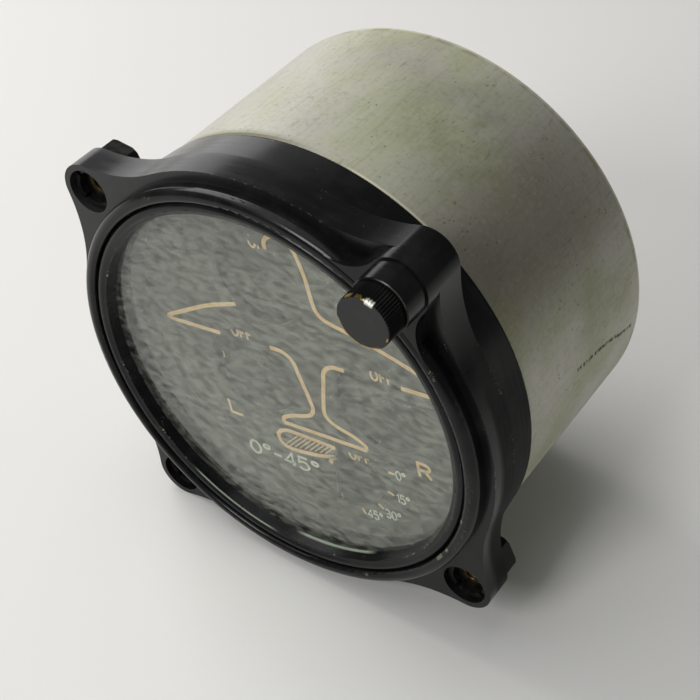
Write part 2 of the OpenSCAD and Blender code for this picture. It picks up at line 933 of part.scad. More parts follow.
bezel_casting();
glass_retaining_ring();
cover_glass();
glass_gasket();
dial_spacer_ring();
dial_plate();
dial_support_ring();
can();
can_gasket();
mounting_nuts();
nut_inserts();
movement_plate();
movement_plate_screws();
case_pillars();
case_screws();
motor_screws();
motor_housing(left_at);  // left_motor_housing
motor_winding(left_at);  // left_motor_winding
motor_magnet(left_at);  // left_motor_magnet
motor_shaft(left_at, flag_y);  // left_motor_shaft
motor_housing(right_at);  // right_motor_housing
motor_winding(right_at);  // right_motor_winding
motor_magnet(right_at);  // right_motor_magnet
motor_shaft(right_at, flag_y);  // right_motor_shaft
motor_housing(nose_at);  // nose_motor_housing
motor_winding(nose_at);  // nose_motor_winding
motor_magnet(nose_at);  // nose_motor_magnet
motor_shaft(nose_at, flag_y);  // nose_motor_shaft
motor_housing(flap_at);  // flap_motor_housing
motor_winding(flap_at);  // flap_motor_winding
motor_magnet(flap_at);  // flap_motor_magnet
motor_shaft(flap_at, pointer_y);  // flap_motor_shaft
wheel_flag(left_at);  // left_wheel_flag
wheel_flag(right_at);  // right_wheel_flag
wheel_flag(nose_at);  // nose_wheel_flag
flap_pointer();
connector_shell();
connector_insert();
connector_pins();
connector_screws();
lamp_collar();
dimmer_knob();
dimmer_sleeve();
lamp_glass();
lamp_base();
lamp_socket();
lamp_contact();
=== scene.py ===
import bpy
import math
import numpy as np
from mathutils import Matrix, Vector


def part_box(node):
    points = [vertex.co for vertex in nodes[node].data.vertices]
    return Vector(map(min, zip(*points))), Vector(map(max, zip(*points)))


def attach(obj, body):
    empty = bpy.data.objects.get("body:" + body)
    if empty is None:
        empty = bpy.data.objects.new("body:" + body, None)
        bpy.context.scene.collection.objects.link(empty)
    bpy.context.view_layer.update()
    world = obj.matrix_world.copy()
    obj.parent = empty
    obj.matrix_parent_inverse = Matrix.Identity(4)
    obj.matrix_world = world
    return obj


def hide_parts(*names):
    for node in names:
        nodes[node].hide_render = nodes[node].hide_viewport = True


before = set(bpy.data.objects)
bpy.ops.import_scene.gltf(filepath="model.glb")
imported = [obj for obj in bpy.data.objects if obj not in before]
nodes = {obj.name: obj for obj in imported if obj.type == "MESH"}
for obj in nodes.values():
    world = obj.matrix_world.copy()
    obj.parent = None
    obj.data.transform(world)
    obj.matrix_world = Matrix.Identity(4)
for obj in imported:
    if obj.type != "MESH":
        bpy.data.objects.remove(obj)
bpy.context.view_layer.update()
mm = 0.001
print("frame loaded:", len(nodes), "nodes")


# Places read from the frame, in millimetres
def nodeBox(name):
    low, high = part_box(name)
    return np.array(low) / mm, np.array(high) / mm


def nodeMiddle(name):
    # middle of a node's box, seen from the front
    low, high = nodeBox(name)
    return ((low[0] + high[0]) / 2, (low[2] + high[2]) / 2)


canLow, canHigh = nodeBox("can")
insertLow, insertHigh = nodeBox("nut_inserts")
dialFront = nodeBox("dial_plate")[0][1]
lightAt = nodeMiddle("dimmer_knob")
flapPivot = nodeMiddle("flap_motor_shaft")
lugAt = lightAt[0]  # the light stands where the fourth lug's hole would be
nutPlaces = [(-lugAt, lugAt), (-lugAt, -lugAt), (lugAt, -lugAt)]


# Camera, floor and lamps
cameraSettings = {
    "place": (135.73, -126.97, 146.34),  # mm
    "aim": (7.63, 10.77, 2.82),  # mm
    "roll": -12.35,  # degrees, against the dial's own upright
    "lens": 74.33,  # mm
    "sensor": 36.0,  # mm
    "clip": (0.01, 20.0),  # metres
}
floorSettings = {
    "roll": 9.31,  # degrees that the instrument has rolled on its flange edge
    "tip": -0.98,  # degrees between the axis and the floor
    "drop": 41.24,  # mm from the origin
    "reach": 2500.0,  # mm
    "colour": (0.76, 0.75, 0.73),
    "roughness": 0.9,
}


def placeCamera(settings):
    data = bpy.data.cameras.new("camera")
    data.lens = settings["lens"]
    data.sensor_width = settings["sensor"]
    data.clip_start, data.clip_end = settings["clip"]
    camera = bpy.data.objects.new("camera", data)
    bpy.context.scene.collection.objects.link(camera)
    place = Vector(settings["place"]) * mm
    aim = Vector(settings["aim"]) * mm
    look = (aim - place).to_track_quat("-Z", "Y")
    roll = Matrix.Rotation(math.radians(settings["roll"]), 4, "Z")
    camera.matrix_world = Matrix.Translation(place) @ look.to_matrix().to_4x4() @ roll
    bpy.context.scene.camera = camera


def floorUp(settings):
    # upright of the floor in the instrument's own frame
    roll, tip = math.radians(settings["roll"]), math.radians(settings["tip"])
    return np.array([math.sin(roll) * math.cos(tip), math.sin(tip), math.cos(roll) * math.cos(tip)])


def makeFloor(settings):
    up = floorUp(settings)
    side = np.cross(up, (0.0, 1.0, 0.0))
    side /= np.linalg.norm(side)
    ahead = np.cross(side, up)
    corners = np.array([(-1, -1), (1, -1), (1, 1), (-1, 1)]) * settings["reach"]
    points = -up * settings["drop"] + corners[:, :1] * side + corners[:, 1:] * -ahead
    mesh = bpy.data.meshes.new("floor")
    mesh.from_pydata((points * mm).tolist(), [], [(0, 1, 2, 3)])
    if mesh.polygons[0].normal.dot(Vector(up)) < 0:
        mesh.flip_normals()
    floor = bpy.data.objects.new("floor", mesh)
    bpy.context.scene.collection.objects.link(floor)
    material = bpy.data.materials.new("pale floor")
    material.use_nodes = True
    shader = material.node_tree.nodes["Principled BSDF"]
    shader.inputs["Base Color"].default_value = (*settings["colour"], 1.0)
    shader.inputs["Roughness"].default_value = settings["roughness"]
    mesh.materials.append(material)


# places and sizes in mm, power in watts
lampSettings = {
    "key": {
        "from": (-300.0, 70.0, 400.0),
        "size": 300.0,
        "power": 1.15,
        "colour": (1.0, 0.99, 0.97),
    },
    "overhead": {
        "from": (-190.0, -60.0, 880.0),
        "size": 1100.0,
        "power": 4.3,
        "colour": (1.0, 1.0, 1.0),
    },
    "front": {
        "from": (0.0, -520.0, 425.0),
        "size": 230.0,
        "power": 2.0,
        "colour": (1.0, 1.0, 1.0),
    },
    "back": {
        "from": (-640.0, 470.0, 190.0),
        "size": 420.0,
        "power": 0.75,
        "colour": (1.0, 1.0, 1.0),
    },
}
worldSettings = {"colour": (0.62, 0.64, 0.62), "strength": 0.18}


def makeLamps(lamps, world):
    for name, lamp in lamps.items():
        data = bpy.data.lights.new(name + " lamp", "AREA")
        data.shape = "SQUARE"
        data.size = lamp["size"] * mm
        data.energy = lamp["power"]
        data.color = lamp["colour"]
        light = bpy.data.objects.new(name + " lamp", data)
        bpy.context.scene.collection.objects.link(light)
        place = Vector(lamp["from"]) * mm
        light.location = place
        light.rotation_euler = (-place).to_track_quat("-Z", "Y").to_euler()
    sky = bpy.data.worlds.new("studio")
    sky.use_nodes = True
    background = sky.node_tree.nodes["Background"]
    background.inputs["Color"].default_value = (*world["colour"], 1.0)
    background.inputs["Strength"].default_value = world["strength"]
    bpy.context.scene.world = sky


bpy.context.scene.view_settings.view_transform = "Standard"
placeCamera(cameraSettings)
makeFloor(floorSettings)
makeLamps(lampSettings, worldSettings)
print("camera, floor and lamps placed")


# Node building
def addNode(tree, kind, settings=None, **sockets):
    node = tree.nodes.new(kind)
    for key, value in (settings or {}).items():
        setattr(node, key, value)
    for key, value in sockets.items():
        plug(tree, node.inputs[key], value)
    return node


def plug(tree, socket, value):
    if isinstance(value, bpy.types.NodeSocket):
        tree.links.new(value, socket)
    elif isinstance(value, (tuple, list)) and len(value) == 3 and socket.type == "RGBA":
        socket.default_value = (*value, 1.0)
    else:
        socket.default_value = value


def maths(tree, operation, first, second=0.0, third=None):
    node = addNode(tree, "ShaderNodeMath", {"operation": operation})
    plug(tree, node.inputs[0], first)
    plug(tree, node.inputs[1], second)
    if third is not None:
        plug(tree, node.inputs[2], third)
    return node.outputs[0]


def times(tree, first, *others):
    for other in others:
        first = maths(tree, "MULTIPLY", first, other)
    return first


def ease(tree, value, start, end, low=0.0, high=1.0):
    # smooth step from low to high while value goes from start to end
    node = addNode(tree, "ShaderNodeMapRange", {"interpolation_type": "SMOOTHSTEP"})
    plug(tree, node.inputs["Value"], value)
    for key, number in (("From Min", start), ("From Max", end), ("To Min", low), ("To Max", high)):
        node.inputs[key].default_value = number
    return node.outputs["Result"]


def blendColour(tree, factor, under, over):
    node = addNode(tree, "ShaderNodeMix", {"data_type": "RGBA"})
    plug(tree, node.inputs[0], factor)
    plug(tree, node.inputs[6], under)
    plug(tree, node.inputs[7], over)
    return node.outputs[2]


def noise(tree, where, scale, detail=3.0, roughness=0.55, distortion=0.0):
    node = addNode(tree, "ShaderNodeTexNoise", Vector=where)
    node.inputs["Scale"].default_value = scale
    node.inputs["Detail"].default_value = detail
    node.inputs["Roughness"].default_value = roughness
    node.inputs["Distortion"].default_value = distortion
    return node.outputs["Fac"]


def stretched(tree, where, factors, turn=(0.0, 0.0, 0.0)):
    node = addNode(tree, "ShaderNodeMapping", Vector=where)
    node.inputs["Scale"].default_value = factors
    node.inputs["Rotation"].default_value = turn
    return node.outputs["Vector"]


# shares of a speck, a worn edge and a worn arc that are fully marked before they fade
speckCore = 0.6
edgeCore = 0.35
arcCore = 0.7


def specks(tree, where, scale, size):
    # 1 inside small round spots, 0 outside
    node = addNode(tree, "ShaderNodeTexVoronoi", {"feature": "F1"}, Vector=where)
    node.inputs["Scale"].default_value = scale
    return ease(tree, node.outputs["Distance"], size, size * speckCore)


def near(tree, value, middle, half, soft):
    # 1 where value lies within half of middle, easing to 0 over soft
    away = maths(tree, "ABSOLUTE", maths(tree, "SUBTRACT", value, middle))
    return ease(tree, away, half + soft, half)


def places(tree, centre=(0.0, 0.0)):
    # object place in millimetres, distance from a line along Y, and angle from +X in degrees
    coordinates = addNode(tree, "ShaderNodeTexCoord").outputs["Object"]
    inMm = addNode(tree, "ShaderNodeMapping", Vector=coordinates)
    inMm.inputs["Scale"].default_value = (1.0 / mm, 1.0 / mm, 1.0 / mm)
    inMm.inputs["Location"].default_value = (-centre[0], 0.0, -centre[1])
    where = inMm.outputs["Vector"]
    parts = addNode(tree, "ShaderNodeSeparateXYZ", Vector=where)
    x, y, z = (parts.outputs[k] for k in "XYZ")
    flat = addNode(tree, "ShaderNodeCombineXYZ", X=x, Z=z).outputs["Vector"]
    length = addNode(tree, "ShaderNodeVectorMath", {"operation": "LENGTH"}, Vector=flat)
    angle = times(tree, maths(tree, "ARCTAN2", z, x), 180.0 / math.pi)
    return {"where": where, "x": x, "y": y, "z": z, "radius": length.outputs["Value"], "angle": angle}


def across(tree, spot, direction, start, end):
    # 0 to 1 along a direction in the dial's plane, given in degrees from +X
    turn = math.radians(direction)
    sideways = times(tree, spot["x"], math.cos(turn))
    upwards = times(tree, spot["z"], math.sin(turn))
    return ease(tree, maths(tree, "ADD", sideways, upwards), start, end)


def edgeBand(tree, spot, radius, depth, width):
    # 1 on a turned edge at a radius and a depth, easing to 0 at width from it
    outwards = maths(tree, "SUBTRACT", spot["radius"], radius)
    inwards = maths(tree, "SUBTRACT", spot["y"], depth)
    squares = maths(tree, "ADD", times(tree, outwards, outwards), times(tree, inwards, inwards))
    return ease(tree, maths(tree, "SQRT", squares), width, width * edgeCore)


def arcBand(tree, spot, radius, depth, width, middle, half):
    # the same band over part of the way round
    around = near(tree, spot["angle"], middle, half * arcCore, half * (1.0 - arcCore))
    return times(tree, edgeBand(tree, spot, radius, depth, width), around)


def startMaterial(name):
    material = bpy.data.materials.new(name)
    material.use_nodes = True
    tree = material.node_tree
    return material, tree, tree.nodes["Principled BSDF"]


def bump(tree, shader, height, strength, distance):
    node = addNode(tree, "ShaderNodeBump", Height=height)
    node.inputs["Strength"].default_value = strength
    node.inputs["Distance"].default_value = distance
    tree.links.new(node.outputs["Normal"], shader.inputs["Normal"])


# Black enamel of the casting, the rings and the corner light, with painted sheen, highlights and a glint
enamelSettings = {
    "colour": (0.0045, 0.0045, 0.005),
    "worn": (0.011, 0.011, 0.0115),
    # grey of the painted sheen at the upper left of the casting and of the paler knob face
    "dusty": (0.056, 0.056, 0.058),
    "chip": (0.14, 0.14, 0.095),
    # pale metal of worn chips on the retaining ring, also the colour of its painted highlight and painted
    # reflection
    "bare metal and painted highlight": (0.27, 0.32, 0.25),
    "brass": (0.36, 0.25, 0.08),
    # pale colour of the painted glint on the knob's edge
    "polish": (0.93, 0.91, 0.85),
    "specular": 0.22,
    # noises: scale, detail, roughness, distortion
    "cloud": (0.16, 4.0, 0.6),
    "rubbed": (1.7, 5.0, 0.72, 0.6),
    "patches": (0.13, 2.0, 0.5),
    "speckPatches": (0.35, 2.0),
    "streaks": (1.0, 2.0),
    "grain": (3.2, 3.0),
    "streakStretch": (0.12, 1.4, 0.12),
    # ramps over the noises: start, end, low, high
    "wornRamp": (0.42, 0.70),
    "chipLevel": (0.46, 0.66, 0.80, 0.56),
    "chipRamp": (-0.02, 0.03),
    "speckRamp": (0.56, 0.62),
    "roughRamp": (0.2, 0.8, 0.16, 0.25),
    "arcSoftness": 0.08,
    "specks": (1.1, 0.10),  # scale, size
    "speckStrength": 0.5,
    "mattRoughness": 0.5,
    "chipRoughness": 0.15,
    "grainHeight": 0.5,
    "bump": (0.18, 0.00004),  # strength, metres
}

# wear and painted light of each piece, in mm and degrees: an edge is radius, depth and width;
# an arc has a middle angle, a half angle and the noise level of its chips as well
castingWearAndSheen = {
    "under": "chip",
    "specky": True,
    "edges": [(38.6, -2.9, 0.5), (41.15, 0.0, 0.3), (41.15, 5.5, 0.35), (40.65, 11.7, 0.3)],
    # chips on the raised ring, and a row of small ones along the flange's edge
    "arcs": [
        (37.4, -2.95, 0.55, -37.5, 1.7, 0.34),
        (37.5, -2.95, 0.4, -33.0, 0.8, 0.34),
        (37.4, -2.95, 0.4, -19.3, 0.7, 0.34),
        (37.4, -2.95, 0.3, -70.0, 0.5, 0.34),
        (41.15, 0.0, 0.22, 86.0, 26.0, 0.56),
    ],
    # painted sheen at the upper left, a grey film; matt lower right: direction, start and end across
    "film": (127.0, 20.0, 42.0),
    "matt": (-45.0, 12.0, 26.0),
    # depths over which they set in, and over which the film grows from 0.4 to 1
    "filmDepth": (-0.6, -0.1),
    "filmGrowth": (3.5, 6.0, 0.4, 1.0),
    "mattDepth": (1.0, 3.0),
}
retainerWearAndHighlight = {
    "under": "bare metal and painted highlight",
    "specky": True,
    "edges": [(34.9, -2.1, 0.2)],
    # the two arcs are a painted reflection at the foot of the inner wall and a painted highlight along the
    # rim's edge
    "arcs": [(34.4, -0.3, 0.5, -81.5, 16.0, 0.34), (34.95, -2.15, 0.22, -118.0, 17.0, 0.34)],
}
collarWear = {
    "under": "chip",
    "specky": False,
    "edges": [],
    "arcs": [(4.7, -7.3, 0.16, 48.0, 42.0, 0.34)],
}
knobWearAndGlint = {
    "under": "brass",
    "specky": False,
    "edges": [],
    "arcs": [
        (4.35, -10.8, 0.5, 117.0, 10.0, 0.34),
        (4.35, -10.9, 0.42, 92.0, 8.0, 0.34),
        (4.3, -11.2, 0.3, 72.0, 13.0, 0.34),
        (4.13, -11.3, 0.17, -122.0, 68.0, 0.34),
        (4.13, -11.3, 0.2, -26.0, 6.0, 0.34),
    ],
    "face": (-11.2, -11.28, 0.0, 0.28),  # paler end face: depths, low, high
    "glint": (4.3, -11.2, 0.8, 66.0, 11.0),  # painted glint: a pale spot on the edge, an arc without a level
    "glintMetal": 0.5,
}


def chipAndHighlightMask(tree, spot, settings, wearAndLight):
    # 1 where the enamel is chipped or rubbed through; for the retaining ring also on its painted highlight
    # arcs
    rubbed = noise(tree, spot["where"], *settings["rubbed"])
    threshold = ease(tree, noise(tree, spot["where"], *settings["patches"]), *settings["chipLevel"])
    chippedAndHighlit = 0.0
    for edge in wearAndLight["edges"]:
        chips = ease(tree, maths(tree, "SUBTRACT", rubbed, threshold), *settings["chipRamp"])
        chippedAndHighlit = maths(tree, "MAXIMUM", chippedAndHighlit, times(tree, edgeBand(tree, spot, *edge), chips))
    for *stretch, level in wearAndLight["arcs"]:
        chips = ease(tree, rubbed, level, level + settings["arcSoftness"])
        chippedAndHighlit = maths(tree, "MAXIMUM", chippedAndHighlit, times(tree, arcBand(tree, spot, *stretch), chips))
    if wearAndLight["specky"]:
        gate = ease(tree, noise(tree, spot["where"], *settings["speckPatches"]), *settings["speckRamp"])
        dots = times(tree, specks(tree, spot["where"], *settings["specks"]), gate, settings["speckStrength"])
        chippedAndHighlit = maths(tree, "MAXIMUM", chippedAndHighlit, dots)
    return chippedAndHighlit


def enamelMaterial(name, settings, wearAndLight, centre=(0.0, 0.0)):
    material, tree, shader = startMaterial(name)
    shader.inputs["Specular IOR Level"].default_value = settings["specular"]
    spot = places(tree, centre)
    worn = ease(tree, noise(tree, spot["where"], *settings["cloud"]), *settings["wornRamp"])
    colour = blendColour(tree, worn, settings["colour"], settings["worn"])
    # painted sheen: a grey film towards the upper left of the casting
    if "film" in wearAndLight:
        film = times(tree, across(tree, spot, *wearAndLight["film"]), ease(tree, spot["y"], *wearAndLight["filmDepth"]))
        film = times(tree, film, ease(tree, spot["y"], *wearAndLight["filmGrowth"]))
        colour = blendColour(tree, film, colour, settings["dusty"])
    chippedAndHighlit = chipAndHighlightMask(tree, spot, settings, wearAndLight)
    colour = blendColour(tree, chippedAndHighlit, colour, settings[wearAndLight["under"]])
    if "glint" in wearAndLight:
        # paler end face, then the painted glint, a pale half-metal spot
        dust = maths(tree, "SUBTRACT", ease(tree, spot["y"], *wearAndLight["face"]), chippedAndHighlit)
        colour = blendColour(tree, dust, colour, settings["dusty"])
        glint = arcBand(tree, spot, *wearAndLight["glint"])
        colour = blendColour(tree, glint, colour, settings["polish"])
        # metal share of the worn chips and of the painted glint
        bare = maths(tree, "MAXIMUM", chippedAndHighlit, glint)
        metal = maths(tree, "MULTIPLY_ADD", glint, -wearAndLight["glintMetal"], bare)
        plug(tree, shader.inputs["Metallic"], metal)
    plug(tree, shader.inputs["Base Color"], colour)
    streaks = noise(tree, stretched(tree, spot["where"], settings["streakStretch"]), *settings["streaks"])
    rough = ease(tree, streaks, *settings["roughRamp"])
    if "matt" in wearAndLight:
        matt = times(tree, across(tree, spot, *wearAndLight["matt"]), ease(tree, spot["y"], *wearAndLight["mattDepth"]))
        rough = maths(tree, "MULTIPLY_ADD", matt, settings["mattRoughness"], rough)
    rough = maths(tree, "MULTIPLY_ADD", chippedAndHighlit, settings["chipRoughness"], rough)
    plug(tree, shader.inputs["Roughness"], rough)
    fine = times(tree, noise(tree, spot["where"], *settings["grain"]), settings["grainHeight"])
    bump(tree, shader, maths(tree, "SUBTRACT", fine, chippedAndHighlit), *settings["bump"])
    return material


# Grey-green plated can with stains, a painted shade at the upper right, specks, worn rims and a scratch
canSettings = {
    "pale": (0.51, 0.495, 0.44),
    "green": (0.44, 0.45, 0.315),
    "grey": (0.49, 0.482, 0.415),
    "stain": (0.17, 0.18, 0.085),
    "dark": (0.055, 0.052, 0.042),
    # brown of the painted shade at the upper right and of the oxide line at the front rim
    "brown": (0.115, 0.090, 0.052),
    "rust": (0.20, 0.14, 0.08),
    "cream": (0.80, 0.76, 0.58),
    "metallic": 0.42,
    # stretch along x, y and z, then scale, detail, roughness, distortion
    "noises": {
        "cloud": ((1.0, 1.0, 1.0), 0.045, 5.0, 0.62, 0.4),
        "second": ((1.0, 0.5, 1.0), 0.11, 4.0, 0.6),
        "blot": ((1.0, 0.6, 1.0), 0.22, 3.0, 0.5, 0.2),
        "grain": ((1.0, 1.0, 1.0), 1.1, 5.0, 0.7),
        "lengthwise": ((2.6, 0.10, 2.6), 1.0, 3.0, 0.6),
        "smudge": ((0.9, 0.22, 0.9), 0.9, 4.0, 0.7),
        "speckPatches": ((1.0, 1.0, 1.0), 0.12, 3.0, 0.6),
        "scuffs": ((1.0, 1.0, 1.0), 0.5, 3.0, 0.6),
        "scuffPatches": ((1.0, 1.0, 1.0), 0.07, 2.0),
        "dashes": ((0.4, 1.4, 0.4), 1.0, 2.0),
    },
    # noise, colour, then start, end, low, high of its ramp
    "ground": [("cloud", "green", 0.36, 0.64), ("second", "grey", 0.50, 0.72)],
    "marks": [
        ("grain", "stain", 0.50, 0.72, 0.0, 0.34),
        ("grain", "pale", 0.46, 0.28, 0.0, 0.30),
        ("lengthwise", "stain", 0.46, 0.74, 0.0, 0.20),
        ("smudge", "dark", 0.60, 0.74, 0.0, 0.30),
    ],
    "paleSide": (170.0, 3.0, 25.0),  # direction, start, end
    "paleStrength": 0.65,
    # painted brown shade at the upper right: middle, half and fading of the angle and of the depth
    "shadeAngle": (33.0, 4.0, 24.0),
    "shadeDepth": (24.0, 8.0, 34.0),
    "shadeStrength": 0.60,
    # stains: middle angle and fading, middle depth and fading, strength
    "stains": [
        (64.0, 14.0, 34.0, 14.0, 0.42),
        (50.0, 12.0, 30.0, 16.0, 0.30),
        (6.0, 10.0, 38.0, 12.0, 0.5),
        (88.0, 16.0, 42.0, 10.0, 0.22),
    ],
    "stainCore": 0.3,  # half width over fading
    "stainRamp": (0.25, 0.70),
    "stainLeast": 0.25,
    # specks of a colour: stretch, turn, scale, size
    "specks": {
        "dark": ((1.0, 0.55, 1.0), (0.0, 0.0, 0.0), 0.85, 0.13),
        "rust": ((1.0, 1.0, 1.0), (0.5, 0.9, 0.2), 0.42, 0.12),
    },
    "speckStrength": {"dark": 0.6, "rust": 0.7},
    "speckRamp": (0.50, 0.62),
    "scuffLine": (0.5, 0.003, 0.006),  # noise level, half width, fading
    "scuffRamp": (0.54, 0.62),
    "scuffStrength": 0.55,
    # bands on the rims: colour, rim, start and end in mm from it, what limits the band, strength
    "rims": [
        ("stain", "front", 2.4, 0.8, "upperLeft", 0.6),
        ("brown", "front", 0.95, 0.7, "upperLeft", 0.85),
        ("cream", "front", 0.6, 0.2, "top", 0.8),
        ("stain", "rear", -1.8, -0.9, "blots", 0.5),
        ("cream", "rear", -0.9, -0.6, "grains", 0.5),
    ],
    "upperLeft": (125.0, 26.0, 38.0),
    "top": (58.0, 9.0, 6.0),
    "wall": (-1.6, -0.8),  # mm from the can's radius
    "blotRamp": (0.46, 0.60),
    "grainRamp": (0.34, 0.44),
    # dashed scratch: angle and depth of its points; the line fades between two widths in degrees
    "scratch": [(-4.5, 27.0), (-6.5, 35.0), (-8.5, 40.0), (-10.0, 42.0), (-12.0, 47.0)],
    "scratchWidth": (0.75, 0.3),
    "scratchJoin": 0.1,
    "scratchStrength": 0.9,
    "dashRamp": (0.42, 0.52),
    "roughRamp": (0.35, 0.65, 0.42, 0.54),
    "speckDepth": 0.8,
    "markRoughness": 0.2,
    "streakHeight": 0.35,
    "bump": (0.22, 0.00005),  # strength, metres
}


def noiseLayers(tree, noises, rows):
    return [(ease(tree, noises[key], *ramp), colour) for key, colour, *ramp in rows]


def canStainsAndShade(tree, spot, noises, settings):
    pale = times(tree, across(tree, spot, *settings["paleSide"]), settings["paleStrength"])
    # painted shade: a brown band at the upper right of the can
    around = near(tree, spot["angle"], *settings["shadeAngle"])
    along = near(tree, spot["y"], *settings["shadeDepth"])
    shade = times(tree, around, along, settings["shadeStrength"])
    layers = [(pale, "pale"), (shade, "brown")]
    core, least = settings["stainCore"], settings["stainLeast"]
    for angle, spread, depth, reach, strength in settings["stains"]:
        around = near(tree, spot["angle"], angle, spread * core, spread)
        along = near(tree, spot["y"], depth, reach * core, reach)
        blot = ease(tree, noises["blot"], *settings["stainRamp"], least * strength, strength)
        layers.append((times(tree, around, along, blot), "stain"))
    return layers


def canSpecks(tree, spot, noises, settings):
    # specks gathered in patches
    gate = ease(tree, noises["speckPatches"], *settings["speckRamp"])
    dots = {}
    for colour, (stretch, turn, *numbers) in settings["specks"].items():
        where = stretched(tree, spot["where"], stretch, turn)
        dots[colour] = times(tree, specks(tree, where, *numbers), gate)
    return dots


def canScuffs(tree, noises, settings):
    # hair-fine scuffs in a few patches: the level lines of a noise
    lines = near(tree, noises["scuffs"], *settings["scuffLine"])
    return times(tree, lines, ease(tree, noises["scuffPatches"], *settings["scuffRamp"]))


def canRims(tree, spot, noises, settings):
    # olive, brown and cream at the front rim, dirt before the cream rear rim
    rims = {"front": canLow[1], "rear": canHigh[1]}
    wall = ease(tree, spot["radius"], *(canHigh[0] + step for step in settings["wall"]))
    limits = {
        "upperLeft": across(tree, spot, *settings["upperLeft"]),
        "top": near(tree, spot["angle"], *settings["top"]),
        "blots": times(tree, ease(tree, noises["blot"], *settings["blotRamp"]), wall),
        "grains": times(tree, ease(tree, noises["grain"], *settings["grainRamp"]), wall),
    }
    layers = []
    for colour, rim, start, end, limit, strength in settings["rims"]:
        band = ease(tree, spot["y"], rims[rim] + start, rims[rim] + end)
        layers.append((times(tree, band, limits[limit], strength), colour))
    return layers


def canScratch(tree, spot, noises, settings):
    # 1 on the line through the scratch's points, where the dashes fall
    scored = 0.0
    path = settings["scratch"]
    for (angle, depth), (nextAngle, nextDepth) in zip(path[:-1], path[1:]):
        slope = (nextAngle - angle) / (nextDepth - depth)
        rise = times(tree, maths(tree, "SUBTRACT", spot["y"], depth), slope)
        expected = maths(tree, "ADD", rise, angle)
        off = maths(tree, "ABSOLUTE", maths(tree, "SUBTRACT", spot["angle"], expected))
        middle, half = (depth + nextDepth) / 2, (nextDepth - depth) / 2
        along = near(tree, spot["y"], middle, half, settings["scratchJoin"])
        line = times(tree, ease(tree, off, *settings["scratchWidth"]), along)
        scored = maths(tree, "MAXIMUM", scored, line)
    return times(tree, scored, ease(tree, noises["dashes"], *settings["dashRamp"]))


def canMaterial(settings):
    material, tree, shader = startMaterial("plated can")
    spot = places(tree)
    noises = {}
    for key, (stretch, *numbers) in settings["noises"].items():
        noises[key] = noise(tree, stretched(tree, spot["where"], stretch), *numbers)
    dots = canSpecks(tree, spot, noises, settings)
    scored = canScratch(tree, spot, noises, settings)
    layers = noiseLayers(tree, noises, settings["ground"])
    layers += canStainsAndShade(tree, spot, noises, settings)
    layers += noiseLayers(tree, noises, settings["marks"])
    for colour, mask in dots.items():
        layers.append((times(tree, mask, settings["speckStrength"][colour]), colour))
    scuffed = times(tree, canScuffs(tree, noises, settings), settings["scuffStrength"])
    layers.append((scuffed, "stain"))
    layers += canRims(tree, spot, noises, settings)
    layers.append((times(tree, scored, settings["scratchStrength"]), "dark"))
    painted = settings["pale"]
    for mask, colour in layers:
        painted = blendColour(tree, mask, painted, settings[colour])
    plug(tree, shader.inputs["Base Color"], painted)
    shader.inputs["Metallic"].default_value = settings["metallic"]
    marks = maths(tree, "MAXIMUM", times(tree, dots["dark"], settings["speckDepth"]), scored)
    rough = ease(tree, noises["cloud"], *settings["roughRamp"])
    rough = maths(tree, "ADD", rough, times(tree, marks, settings["markRoughness"]))
    plug(tree, shader.inputs["Roughness"], rough)
    streaks = times(tree, noises["lengthwise"], settings["streakHeight"])
    bump(tree, shader, maths(tree, "SUBTRACT", streaks, marks), *settings["bump"])
    return material


# Cover glass with a thin film, partly dust specks and partly a mottled haze that is a painted reflection of
# a bumpy floor; the glass lets the lamps through to the dial
glassSettings = {
    "tint": (0.91, 0.94, 0.85),
    "dot": (0.75, 0.75, 0.70),
    "index": 1.5,
    "roughness": 0.015,
    "haze": (0.62, 3.0, 0.5),  # scale, detail, roughness
    "hazeStretch": (0.7, 1.0, 1.4),
    "hazeTurn": (0.0, 0.5, 0.0),  # radians
    "filmRamp": (0.38, 0.62, 0.010, 0.100),
    "wide": (0.05, 2.0),
    "wideRamp": (0.35, 0.65, 0.85, 1.15),
    "dots": (0.55, 0.11),  # scale, size
    "dotPatches": (0.2, 2.0),
    "dotRamp": (0.50, 0.60),
    "dotStrength": 0.5,
    "paleRamp": (0.15, 0.3),
}


def glassMaterial(settings):
    material, tree, shader = startMaterial("cover glass")
    spot = places(tree)
    shader.inputs["IOR"].default_value = settings["index"]
    shader.inputs["Roughness"].default_value = settings["roughness"]
    # haze: a mottled pale film that stands in for a painted reflection of a bumpy floor; the dots are dust
    turned = stretched(tree, spot["where"], settings["hazeStretch"], settings["hazeTurn"])
    haze = ease(tree, noise(tree, turned, *settings["haze"]), *settings["filmRamp"])
    wide = ease(tree, noise(tree, spot["where"], *settings["wide"]), *settings["wideRamp"])
    gate = ease(tree, noise(tree, spot["where"], *settings["dotPatches"]), *settings["dotRamp"])
    dots = times(tree, specks(tree, spot["where"], *settings["dots"]), gate, settings["dotStrength"])
    film = maths(tree, "MAXIMUM", times(tree, haze, wide), dots)
    plug(tree, shader.inputs["Transmission Weight"], maths(tree, "SUBTRACT", 1.0, film))
    pale = ease(tree, film, *settings["paleRamp"])
    plug(tree, shader.inputs["Base Color"], blendColour(tree, pale, settings["tint"], settings["dot"]))
    clear = addNode(tree, "ShaderNodeBsdfTransparent", Color=settings["tint"])
    lampRay = addNode(tree, "ShaderNodeLightPath").outputs["Is Shadow Ray"]
    mixed = addNode(tree, "ShaderNodeMixShader", Fac=lampRay)
    tree.links.new(shader.outputs["BSDF"], mixed.inputs[1])
    tree.links.new(clear.outputs["BSDF"], mixed.inputs[2])
    tree.links.new(mixed.outputs["Shader"], tree.nodes["Material Output"].inputs["Surface"])
    return material


